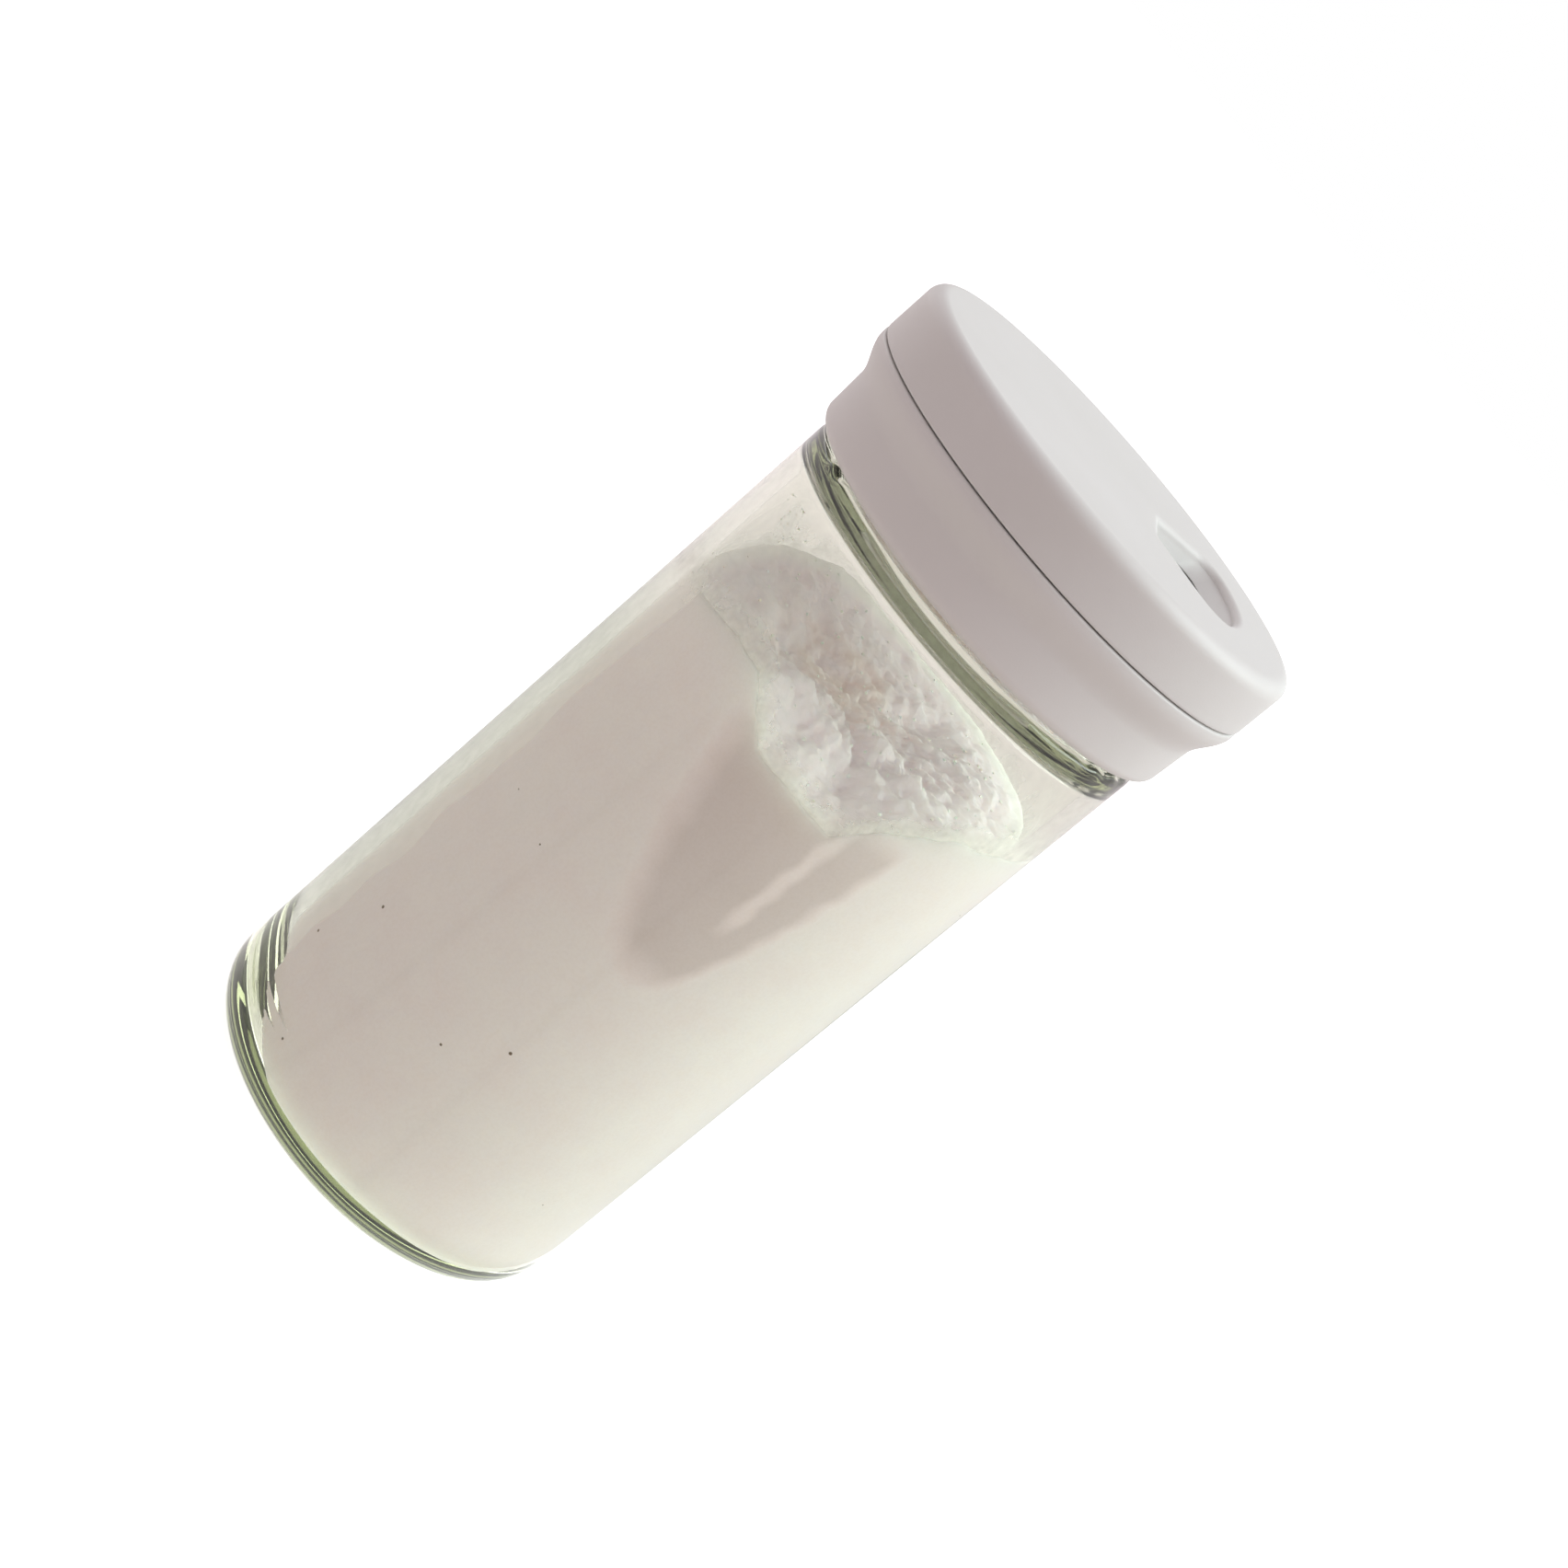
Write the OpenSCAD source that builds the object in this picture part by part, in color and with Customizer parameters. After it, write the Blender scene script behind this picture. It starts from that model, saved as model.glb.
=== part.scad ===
// Glass spice jar with a two-piece rotary lid, part filled with fine salt.
// Z is up, the origin is the middle of the foot, and the dial's opening faces +X.
// All lengths are in millimetres.

/* [Glass jar] */
// Outside diameter of the glass body
body_d = 52; // [48:0.5:64]
// Height of the glass up to the root of the neck
shoulder_z = 98.2; // [70:0.2:130]
// Thickness of the side wall
wall = 2.2; // [1.8:0.1:3]
// Thickness of the base at its middle
base_t = 3; // [2.4:0.1:5]
// Outside rounding of the foot
heel_r = 5.5; // [4:0.1:7]
// Rise of the underside inside the bearing ring
push_up = 0.8; // [0.4:0.1:1.4]
// Rounding of the shoulder below the neck
shoulder_r = 1.2; // [0.8:0.1:1.8]
// How far the neck stands in from the body
neck_in = 2.1; // [1.9:0.1:2.4]
// Height of the neck from its root to the rim
neck_h = 9.8; // [9:0.1:14]
// Thickness of the neck's wall
neck_wall = 2.6; // [2.2:0.1:3]

/* [Salt] */
// Mean height of the salt's surface above the table
salt_z = 79; // [40:0.5:84]
// Slope of the heap, left by a jar that was tipped
salt_tilt = 11; // [0:1:14]
// Compass direction of the heap's high side, from +X
salt_dir = 118; // [0:1:359]

/* [Gasket] */
// Thickness of the sealing ring on the rim
gasket_t = 1; // [0.8:0.1:1.4]

/* [Screw collar] */
// Thickness of the skirt round the neck
skirt_t = 2.3; // [1.8:0.1:3]
// How far the lid's top band stands out from the skirt
flare = 1.8; // [1.2:0.1:2.6]
// Rounding of the skirt's lower lip
lip_r = 1.4; // [1:0.1:1.7]
// Gap that stays open between the skirt's lip and the shoulder
lip_gap = 0.5; // [0.3:0.1:0.8]
// Thickness of the flange that closes on the gasket
flange_t = 1.6; // [1.4:0.1:2]
// Thickness of the flange's outer ledge, which the dial's band comes down to
ledge_t = 0.9; // [0.7:0.1:1.2]
// Thickness of the deck that holds the openings
deck_t = 1.5; // [1.2:0.1:1.8]
// Largest diameter of a sprinkle hole
sprinkle_d = 3.2; // [2:0.1:3.4]

/* [Dial] */
// Height of the dial from the seam to its top face
dial_h = 7.8; // [7:0.1:10]
// Thickness of the dial's top plate
plate_t = 2.5; // [2:0.1:2.8]
// Thickness of the dial's outer band
band_t = 2; // [1.6:0.1:2.4]
// Rounding of the dial's top edge
edge_r = 1.8; // [1:0.1:2]
// Width of the seam between the dial and the collar
seam_gap = 0.25; // [0.2:0.05:0.4]
// Half of the angle that the pour opening spans
pour_half = 36; // [26:0.5:40]
// Distance from the axis to the opening's inner edge
pour_in = 6.9; // [6:0.1:8]
// Rounding of the opening's corners
pour_round = 2.6; // [1.5:0.1:3]
// Soft edge round the top of the opening
pour_soft = 0.9; // [0.4:0.1:1.1]
// Slope of the opening's outer wall, measured along the plate
pour_spout = 2.1; // [0.6:0.1:2.3]
// Radius of the hub that the dial turns on
hub_r = 2.95; // [2.4:0.05:3.2]

/* [Hidden] */
$fn = 128;
// Clearances: between loose pieces, between seated faces, and of the turning hub
loose = 0.3;
seat = 0.05;
run_fit = 0.05;

body_r = body_d / 2;
bore_r = body_r - wall;
neck_r = body_r - neck_in;
mouth_r = neck_r - neck_wall;
rim_z = shoulder_z + neck_h;
rim_r = 0.8;
heel_in_r = heel_r - 1.5;
ring_r = body_r - heel_r - 1.5;
// The bore ends below the neck's root in a sloping ceiling of thick glass
bore_top = [bore_r, shoulder_z - 3.2];
mouth_foot = [mouth_r, shoulder_z - 1.8];
ceiling = norm(mouth_foot - bore_top);

salt_gap = 0.15;
fill_z = min(salt_z, bore_top.y - 1 - bore_r * tan(salt_tilt));

thread_room = 1.1;
socket_r = neck_r + thread_room;
skirt_r = socket_r + skirt_t;
skirt_draft = 0.2;
cap_r = skirt_r + skirt_draft + flare;
gasket_z = rim_z + seat;
flange_z = gasket_z + gasket_t + seat;
seam_z = flange_z + ledge_t;
flange_top = flange_z + flange_t;
lip_z = shoulder_z + lip_gap;
band_z = seam_z - 0.6;
flare_z = band_z - 5;
dial_z = seam_z + dial_h;
plate_z = dial_z - plate_t;
deck_z = plate_z - loose;
deck_under = deck_z - deck_t;
plug_r = mouth_r - loose;
plug_t = 1;
plug_h = 3.6;
drum_r = plug_r + 1;
throat_r = plug_r - plug_t;
band_in_r = cap_r - band_t;
land_r = band_in_r - loose;
guide_t = 1.3;
guide_h = 2.7;
pour_out = throat_r - 2.2;
hole_r = hub_r + run_fit;
barb = 0.65;
barb_h = 1.5;
hub_slot = 1.2;
// The deck has three stations this far apart: shut, sprinkle and pour
station = 120;
row_in = pour_in + 1.6;
row_pitch = (pour_out - 2.4 - row_in) / 2;
hole_d = min(sprinkle_d, row_pitch - 0.3);

// Points of an arc round c from angle a to angle b
function arc(c, r, a, b, n = 8) =
    [for (i = [0:n]) c + r * [cos(a + (b - a) * i / n), sin(a + (b - a) * i / n)]];

// Points of a soft S from p to q, upright at both ends
function ease(p, q, n = 10) =
    [for (i = [0:n]) [p.x + (q.x - p.x) * (1 - cos(180 * i / n)) / 2, p.y + (q.y - p.y) * i / n]];

// Points of a soft corner at b between a and c, starting d before it
function corner(a, b, c, d, n = 6) =
    let (p = b + d * (a - b) / norm(a - b), q = b + d * (c - b) / norm(c - b))
    [for (i = [0:n]) let (t = i / n) (1 - t) * (1 - t) * p + 2 * t * (1 - t) * b + t * t * q];

// Points of a shallow dome from the axis, h high, out to radius r
function dome(r, h, z, n = 6) = [for (i = [0:n]) [r * i / n, z + h * (1 - pow(i / n, 2))]];

// Reverses a list of points
function back(p) = [for (i = [len(p) - 1:-1:0]) p[i]];

// Rounded fan: an outer arc, two radial sides and a straight inner edge.
// grow moves the whole outline outward.
function fan(r_in, r_out, half, q, grow = 0) =
    let (turn = half - asin(q / (r_out - q)))
    let (co = (r_out - q) * [cos(turn), sin(turn)])
    let (ci = [r_in + q, ((r_in + q) * sin(half) - q) / cos(half)])
    let (r = q + grow)
    concat(
        arc([0, 0], r_out + grow, -turn, turn, 14),
        arc(co, r, turn, half + 90),
        arc(ci, r, half + 90, 180),
        arc([ci.x, -ci.y], r, 180, 270 - half),
        arc([co.x, -co.y], r, 270 - half, 360 - turn));

// Inside line of the glass from the axis to the side wall, moved inward by g
function glass_inside(g) =
    concat(
        dome(bore_r - heel_in_r, 0.5, base_t + push_up - 0.5 + g),
        arc([bore_r - heel_in_r, base_t + push_up - 0.5 + heel_in_r], heel_in_r - g, -90, 0));

module glass_jar() {
    outer = concat(
        dome(ring_r, push_up, 0),
        arc([body_r - heel_r, heel_r], heel_r, -90, 0, 12),
        arc([body_r - shoulder_r, shoulder_z - shoulder_r], shoulder_r, 0, 90),
        [[neck_r, shoulder_z]],
        arc([neck_r - rim_r, rim_z - rim_r], rim_r, 0, 90, 4));
    inner = concat(
        glass_inside(0),
        corner([bore_r, 0], bore_top, mouth_foot, min(1.1, 0.5 * ceiling)),
        corner(bore_top, mouth_foot, [mouth_r, rim_z], min(0.8, 0.4 * ceiling)),
        arc([mouth_r + rim_r, rim_z - rim_r], rim_r, 180, 90, 4));
    color("#d6e6dc")
    rotate_extrude()
    polygon(concat(outer, back(inner)));
}

module salt_fill() {
    high = bore_r * tan(salt_tilt) + 2;
    color("#eae6e0")
    difference() {
        rotate_extrude()
        polygon(concat(
            glass_inside(salt_gap),
            [[bore_r - salt_gap, fill_z + high], [0, fill_z + high]]));
        translate([0, 0, fill_z])
        rotate([0, 0, salt_dir])
        rotate([0, -salt_tilt, 0])
        translate([-body_d, -body_d, 0])
        cube([2 * body_d, 2 * body_d, body_d]);
    }
}

module gasket() {
    color("#e8e8e4")
    translate([0, 0, gasket_z])
    difference() {
        cylinder(r = socket_r - loose, h = gasket_t);
        translate([0, 0, -1])
        cylinder(r = plug_r + loose, h = gasket_t + 2);
    }
}

// Cuts the sprinkle holes in rows of 2, 3 and 4
module sprinkle_holes() {
    for (row = [0:2]) {
        count = row + 2;
        ring = row_in + row_pitch * row;
        step = 2 * asin((hole_d + 1.6) / 2 / ring);
        for (i = [0:count - 1])
            rotate([0, 0, (i - (count - 1) / 2) * step])
            translate([ring, 0, deck_under - 1])
            cylinder(d = hole_d, h = deck_t + 2, $fn = 32);
    }
}

module screw_collar() {
    profile = concat(
        [[0, deck_under], [throat_r - 0.8, deck_under]],
        arc([throat_r - 0.8, deck_under - 0.8], 0.8, 90, 0, 4),
        [[throat_r, flange_z - plug_h], [throat_r + 0.4, flange_z - plug_h]],
        [[plug_r, flange_z - plug_h + 1.2], [plug_r, flange_z]],
        [[socket_r, flange_z], [socket_r, lip_z + 0.6], [socket_r + 0.5, lip_z]],
        arc([skirt_r - lip_r, lip_z + lip_r], lip_r, -90, 0),
        ease([skirt_r + skirt_draft, flare_z], [cap_r, band_z], 14),
        arc([cap_r - 0.3, seam_z - 0.3], 0.3, 0, 90, 4),
        [[land_r, seam_z], [land_r, flange_top], [drum_r, flange_top]],
        arc([drum_r - 0.3, deck_z - 0.3], 0.3, 0, 90, 4),
        [[0, deck_z]]);
    color("#dcd8d4")
    difference() {
        rotate_extrude()
        polygon(profile);
        translate([0, 0, deck_under - 1])
        cylinder(r = hole_r, h = deck_t + 2);
        rotate([0, 0, station])
        sprinkle_holes();
        rotate([0, 0, -station])
        translate([0, 0, deck_under - 1])
        linear_extrude(deck_t + 2)
        polygon(fan(pour_in, pour_out, pour_half, pour_round));
    }
}

// A thin slice of the opening at height z, grown by g
module pour_slice(z, g, r_out) {
    translate([0, 0, z])
    linear_extrude(0.01)
    polygon(fan(pour_in, r_out, pour_half, pour_round, g));
}

// The dial's pour opening: a sloped spout below and a soft edge on top
module pour_cut() {
    mouth_out = pour_out + pour_spout;
    steps = [[pour_soft, 0], [0.4 * pour_soft, 0.2], [0.1 * pour_soft, 0.56], [0, 1]];
    hull() {
        pour_slice(plate_z - 0.02, -0.5, pour_out);
        pour_slice(dial_z - pour_soft, 0, mouth_out);
    }
    for (i = [0:2])
        hull() {
            pour_slice(dial_z - steps[i][0], steps[i][1] * pour_soft, mouth_out);
            pour_slice(dial_z - steps[i + 1][0], steps[i + 1][1] * pour_soft, mouth_out);
        }
}

// Post with a split, barbed end that snaps through the deck
module hub() {
    barb_top = deck_under - loose;
    difference() {
        union() {
            translate([0, 0, barb_top - barb_h])
            cylinder(r = hub_r, h = plate_z - barb_top + barb_h + 0.5);
            translate([0, 0, barb_top - barb_h])
            cylinder(r1 = hub_r - 0.5, r2 = hub_r + barb, h = barb_h);
        }
        translate([-hub_r - 2, -hub_slot / 2, barb_top - barb_h - 1])
        cube([2 * hub_r + 4, hub_slot, barb_h + loose + deck_t + 1]);
        translate([0, 0, barb_top - barb_h - 1])
        cylinder(r = hub_r - 1.5, h = barb_h + loose + deck_t + 1);
    }
}

module dial_top() {
    skirt_z = seam_z + seam_gap;
    profile = concat(
        [[0, plate_z], [drum_r + loose, plate_z], [drum_r + loose, plate_z - guide_h]],
        [[drum_r + loose + guide_t, plate_z - guide_h], [drum_r + loose + guide_t, plate_z]],
        [[band_in_r, plate_z], [band_in_r, skirt_z]],
        arc([cap_r - 0.3, skirt_z + 0.3], 0.3, -90, 0, 4),
        arc([cap_r - edge_r, dial_z - edge_r], edge_r, 0, 90),
        [[0, dial_z]]);
    color("#e2e0dc") {
        difference() {
            rotate_extrude()
            polygon(profile);
            pour_cut();
        }
        hub();
    }
}

glass_jar();
salt_fill();
gasket();
screw_collar();
dial_top();
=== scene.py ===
import math

import bmesh
import bpy
import numpy as np
from mathutils import Matrix, Vector, noise


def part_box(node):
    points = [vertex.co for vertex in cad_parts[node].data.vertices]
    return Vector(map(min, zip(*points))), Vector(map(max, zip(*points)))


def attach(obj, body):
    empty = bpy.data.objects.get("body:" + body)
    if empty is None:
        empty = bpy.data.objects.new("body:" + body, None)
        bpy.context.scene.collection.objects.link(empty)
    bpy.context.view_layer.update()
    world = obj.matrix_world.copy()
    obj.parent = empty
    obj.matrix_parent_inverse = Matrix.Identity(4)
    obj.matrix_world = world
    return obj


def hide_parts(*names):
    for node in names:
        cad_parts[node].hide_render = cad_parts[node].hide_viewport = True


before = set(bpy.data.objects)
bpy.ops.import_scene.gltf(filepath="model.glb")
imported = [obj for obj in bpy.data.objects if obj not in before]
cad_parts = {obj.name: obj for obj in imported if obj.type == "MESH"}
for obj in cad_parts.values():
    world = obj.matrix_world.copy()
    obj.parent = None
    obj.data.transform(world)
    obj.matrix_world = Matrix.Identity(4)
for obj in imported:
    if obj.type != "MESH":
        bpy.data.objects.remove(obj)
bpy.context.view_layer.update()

# Camera
# It looks down at the jar from in front and a little above, and is rolled so far
# to the left that the upright jar leans across the picture.
lens_turn, lens_tip, lens_roll = 0.0045 + math.radians(8.5), -0.28829, 0.86689
ahead = Vector((math.sin(lens_turn) * math.cos(lens_tip),
                math.cos(lens_turn) * math.cos(lens_tip),
                math.sin(lens_tip)))
level = Vector((math.cos(lens_turn), -math.sin(lens_turn), 0))
above = level.cross(ahead)
lens_right = level * math.cos(lens_roll) + above * math.sin(lens_roll)
lens_up = above * math.cos(lens_roll) - level * math.sin(lens_roll)
lens_place = Matrix((lens_right, lens_up, -ahead)).transposed().to_4x4()
lens_place.translation = (-0.04856, -0.32489, 0.16399)
camera = bpy.data.objects.new("camera", bpy.data.cameras.new("camera"))
bpy.context.collection.objects.link(camera)
camera.matrix_world = lens_place
camera.data.lens = 69.16
camera.data.sensor_width = 36
camera.data.clip_start = 0.01
bpy.context.scene.camera = camera

# Glass jar
# Pale green soda glass, blown in a mould, with a thick base, a rounded heel and
# a short neck that carries a coarse screw thread of just over one turn.
mm = 0.001
jar_low, jar_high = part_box("glass_jar")
body_r = jar_high.x / mm
rim_z = jar_high.z / mm
bore_r = body_r - 2.2
neck_r = body_r - 2.1
mouth_r = neck_r - 2.6
neck_z = rim_z - 9.8
shoulder_r = 1.2
heel_r = 5.5
screw_lead = 4.233


def arc(r, z, radius, start, end, steps):
    """Points of an arc round (r, z), from one angle in degrees to another."""
    turn = np.radians(np.linspace(start, end, steps + 1))
    return [(r + radius * math.cos(a), z + radius * math.sin(a)) for a in turn]


def straight(r0, z0, r1, z1, steps):
    """Evenly spaced points from one point to another."""
    return list(zip(np.linspace(r0, r1, steps + 1), np.linspace(z0, z1, steps + 1)))


def soft_s(r0, z0, r1, z1, steps):
    """Points of an S curve that is upright at both ends."""
    share = np.linspace(0, 1, steps + 1)
    return [(r0 + (r1 - r0) * (1 - math.cos(math.pi * s)) / 2, z0 + (z1 - z0) * s) for s in share]


def soft_corner(before, at, after, start, steps):
    """Points of a soft corner that starts a given distance before it."""
    before, at, after = np.array(before), np.array(at), np.array(after)
    one = at + start * (before - at) / np.linalg.norm(before - at)
    two = at + start * (after - at) / np.linalg.norm(after - at)
    share = np.linspace(0, 1, steps + 1)
    return [tuple((1 - s) ** 2 * one + 2 * s * (1 - s) * at + s * s * two) for s in share]


def turned(mesh, line, count, closed=True):
    """Adds a line of (r, z) points in millimetres, turned round Z, to a bmesh. Returns its rings."""
    rings = []
    for r, z in line:
        if rings and math.hypot(r - last[0], z - last[1]) < 1e-4:
            continue
        last = (r, z)
        if r < 1e-6:
            rings.append([mesh.verts.new((0, 0, z * mm))])
            continue
        turn = np.arange(count) * 2 * math.pi / count
        rings.append([mesh.verts.new((r * mm * math.cos(a), r * mm * math.sin(a), z * mm)) for a in turn])
    pairs = list(zip(rings, rings[1:]))
    if closed:
        pairs.append((rings[-1], rings[0]))
    for one, two in pairs:
        joined(mesh, one, two)
    return rings


def joined(mesh, one, two):
    """Joins two closed rings of points with faces, or a ring with a single point."""
    count = max(len(one), len(two))
    for i in range(count):
        j = (i + 1) % count
        corners = [one[i % len(one)], one[j % len(one)], two[j % len(two)], two[i % len(two)]]
        corners = list(dict.fromkeys(corners))
        if len(corners) > 2:
            mesh.faces.new(corners)


def piece(name, mesh, material, crease=35):
    """Makes the object of a finished bmesh, smooth except where it turns by more than crease."""
    bmesh.ops.remove_doubles(mesh, verts=mesh.verts, dist=1e-8)
    bmesh.ops.recalc_face_normals(mesh, faces=mesh.faces)
    data = bpy.data.meshes.new(name)
    mesh.to_mesh(data)
    mesh.free()
    data.shade_smooth()
    data.set_sharp_from_angle(angle=math.radians(crease))
    data.materials.append(material)
    made = bpy.data.objects.new(name, data)
    bpy.context.collection.objects.link(made)
    return made


def thread_ridge(x, y, z, low, turns, half_width):
    """How high the screw thread stands at a point, from 0 to 1. low is its height where it starts."""
    turn = (math.atan2(y, x) / (2 * math.pi) + 0.08) % 1
    along = turn + round((z - low) / screw_lead - turn)
    off = abs(z - low - along * screw_lead) / half_width
    if off >= 1 or not 0 < along < turns:
        return 0
    run_out = min(1, along / 0.1, (turns - along) / 0.1)
    return math.cos(math.pi / 2 * off) ** 1.5 * math.sin(math.pi / 2 * run_out)


def bore_wave(x, y, z):
    """How far the inside of the blown glass stands off its true radius: slow waves, and a thick heel at the left."""
    a = math.atan2(y, x)
    from_thick = (math.degrees(a) + 172 + 180) % 360 - 180
    low_down = min(1, max(0, (13 - z) / 8))
    heel = math.exp(-(from_thick / 36) ** 2) * low_down * low_down * (3 - 2 * low_down)
    heel *= 2.6 + 0.16 * math.sin(2 * math.pi * z / 1.9 + 2 * a)
    slow = noise.noise(Vector((math.cos(a) * 1.7, math.sin(a) * 1.7, z * 0.02)))
    streak = noise.noise(Vector((math.cos(a) * 3.8, math.sin(a) * 3.8, z * 0.16)))
    fade = min(1, max(0, (neck_z - 4.6 - z) / 6))
    return fade * (0.06 * (1 + slow) + 0.09 * max(0, 1 - z / 26) * (1 + streak)) - heel


glass_line = [(19.0 * i / 12, 0.8 * (1 - (i / 12) ** 2)) for i in range(13)]
glass_line += arc(body_r - heel_r, heel_r, heel_r, -90, 0, 18)
glass_line += straight(body_r, heel_r, body_r, neck_z - shoulder_r, 56)
glass_line += arc(body_r - shoulder_r, neck_z - shoulder_r, shoulder_r, 0, 90, 10)
glass_line += arc(neck_r + 0.3, neck_z + 0.3, 0.3, 270, 180, 4)
glass_line += straight(neck_r, neck_z + 0.4, neck_r, rim_z - 0.8, 56)
glass_line += arc(neck_r - 0.8, rim_z - 0.8, 0.8, 0, 90, 6)
glass_line += arc(mouth_r + 0.8, rim_z - 0.8, 0.8, 90, 180, 6)
glass_line += straight(mouth_r, rim_z - 0.8, mouth_r, neck_z, 10)
mouth_foot, bore_top = (mouth_r, neck_z - 1.8), (bore_r, neck_z - 3.2)
glass_line += soft_corner((mouth_r, rim_z), mouth_foot, bore_top, 0.8, 10)
glass_line += soft_corner(mouth_foot, bore_top, (bore_r, 0), 1.1, 12)
glass_line += straight(bore_r, neck_z - 4.7, bore_r, 7.3, 56)
glass_line += arc(bore_r - 4, 7.3, 4, 0, -90, 14)
glass_line += [(19.8 * i / 10, 3.3 + 0.5 * (1 - (i / 10) ** 2)) for i in range(10, -1, -1)]

glass_mesh = bmesh.new()
turned(glass_mesh, glass_line, 256, closed=False)
for v in glass_mesh.verts:
    r, z = math.hypot(v.co.x, v.co.y) / mm, v.co.z / mm
    if r < 1:
        continue
    shift = 0
    if r > neck_r - 0.1 and z > neck_z + 0.35:
        shift = 0.72 * thread_ridge(v.co.x, v.co.y, z, neck_z + 2, 1.1, 1.0)
    elif 15 < r < bore_r + 0.01 and 3 < z < neck_z - 4.6:
        shift = min(1, (r - 15) / 4) * bore_wave(v.co.x, v.co.y, z)
    v.co.x *= 1 + shift / r
    v.co.y *= 1 + shift / r
    if neck_z - 1.3 < z < neck_z + 0.35 and r > neck_r:
        turn = math.degrees(math.atan2(v.co.y, v.co.x))
        lump = 0.3 * math.exp(-((turn + 153) / 2) ** 2) - 0.22 * math.exp(-((turn + 148) / 1.6) ** 2)
        lump += 0.14 * math.exp(-((turn + 30) / 18) ** 2) * math.sin(math.radians(turn * 34))
        v.co.z += lump * mm

# height of the salt where it meets the glass, by compass angle in degrees
heap_edge = [(-180, 76.6), (-165, 77.2), (-150, 78.0), (-133, 79.2), (-121, 79.2), (-114, 76.6), (-106, 73.9),
             (-78, 73.4), (-70, 77.4), (-61, 80.0), (-51, 82.0), (-35, 83.0), (-8, 83.2), (30, 83.2),
             (90, 83.6), (117, 84.0), (140, 82.0), (160, 79.0), (180, 76.6)]


def heap_rim(turn):
    """Height in millimetres at which the salt ends on the glass, at a compass angle."""
    angles, heights = zip(*heap_edge)
    return np.interp(turn, angles, heights)


green_glass = bpy.data.materials.new("green_glass")
green_glass.use_nodes = True
nodes, links = green_glass.node_tree.nodes, green_glass.node_tree.links
surface = nodes["Principled BSDF"]
surface.inputs["Base Color"].default_value = (0.98, 0.98, 0.955, 1)
surface.inputs["Roughness"].default_value = 0
surface.inputs["IOR"].default_value = 1.5
dust = nodes.new("ShaderNodeAttribute")
dust.attribute_name = "dust"
cloud = nodes.new("ShaderNodeTexNoise")
cloud.inputs["Scale"].default_value = 420
cloud.inputs["Detail"].default_value = 5
cloud_depth = nodes.new("ShaderNodeMapRange")
cloud_depth.inputs["From Min"].default_value = 0.35
cloud_depth.inputs["From Max"].default_value = 0.65
cloud_depth.inputs["To Min"].default_value = 0.6
cloud_depth.inputs["To Max"].default_value = 1.4
clouded = nodes.new("ShaderNodeMath")
clouded.operation = "MULTIPLY"
left_clear = nodes.new("ShaderNodeMath")
left_clear.operation = "SUBTRACT"
left_clear.use_clamp = True
left_clear.inputs[0].default_value = 1
waves = nodes.new("ShaderNodeTexNoise")
waves.inputs["Scale"].default_value = 110
waves.inputs["Detail"].default_value = 1
ripple = nodes.new("ShaderNodeBump")
ripple.inputs["Strength"].default_value = 0.06
ripple.inputs["Distance"].default_value = 0.0002
place = nodes.new("ShaderNodeTexCoord")
drawn = nodes.new("ShaderNodeMapping")
drawn.inputs["Scale"].default_value = (1, 1, 0.1)
links.new(place.outputs["Object"], drawn.inputs["Vector"])
links.new(drawn.outputs["Vector"], waves.inputs["Vector"])
links.new(place.outputs["Object"], cloud.inputs["Vector"])
links.new(cloud.outputs["Fac"], cloud_depth.inputs["Value"])
links.new(dust.outputs["Fac"], clouded.inputs[0])
links.new(cloud_depth.outputs["Result"], clouded.inputs[1])
links.new(clouded.outputs["Value"], left_clear.inputs[1])
links.new(left_clear.outputs["Value"], surface.inputs["Transmission Weight"])
links.new(waves.outputs["Fac"], ripple.inputs["Height"])
links.new(ripple.outputs["Normal"], surface.inputs["Normal"])
foot = nodes.new("ShaderNodeAttribute")
foot.attribute_name = "foot"
light_path = nodes.new("ShaderNodeLightPath")
clear = nodes.new("ShaderNodeBsdfTransparent")
clear.inputs["Color"].default_value = (0.98, 0.985, 0.975, 1)
for_foot = nodes.new("ShaderNodeMixShader")
for_bounced = nodes.new("ShaderNodeMixShader")
for_lamps = nodes.new("ShaderNodeMixShader")
links.new(light_path.outputs["Is Diffuse Ray"], for_bounced.inputs["Fac"])
links.new(surface.outputs["BSDF"], for_bounced.inputs[1])
links.new(for_foot.outputs["Shader"], for_bounced.inputs[2])
links.new(foot.outputs["Fac"], for_foot.inputs["Fac"])
links.new(clear.outputs["BSDF"], for_foot.inputs[1])
links.new(surface.outputs["BSDF"], for_foot.inputs[2])
links.new(light_path.outputs["Is Shadow Ray"], for_lamps.inputs["Fac"])
links.new(for_bounced.outputs["Shader"], for_lamps.inputs[1])
links.new(clear.outputs["BSDF"], for_lamps.inputs[2])
links.new(for_lamps.outputs["Shader"], nodes["Material Output"].inputs["Surface"])
tint = nodes.new("ShaderNodeVolumeAbsorption")
tint.inputs["Color"].default_value = (0.65, 0.71, 0.42, 1)
tint.inputs["Density"].default_value = 55
links.new(tint.outputs["Volume"], nodes["Material Output"].inputs["Volume"])

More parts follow.
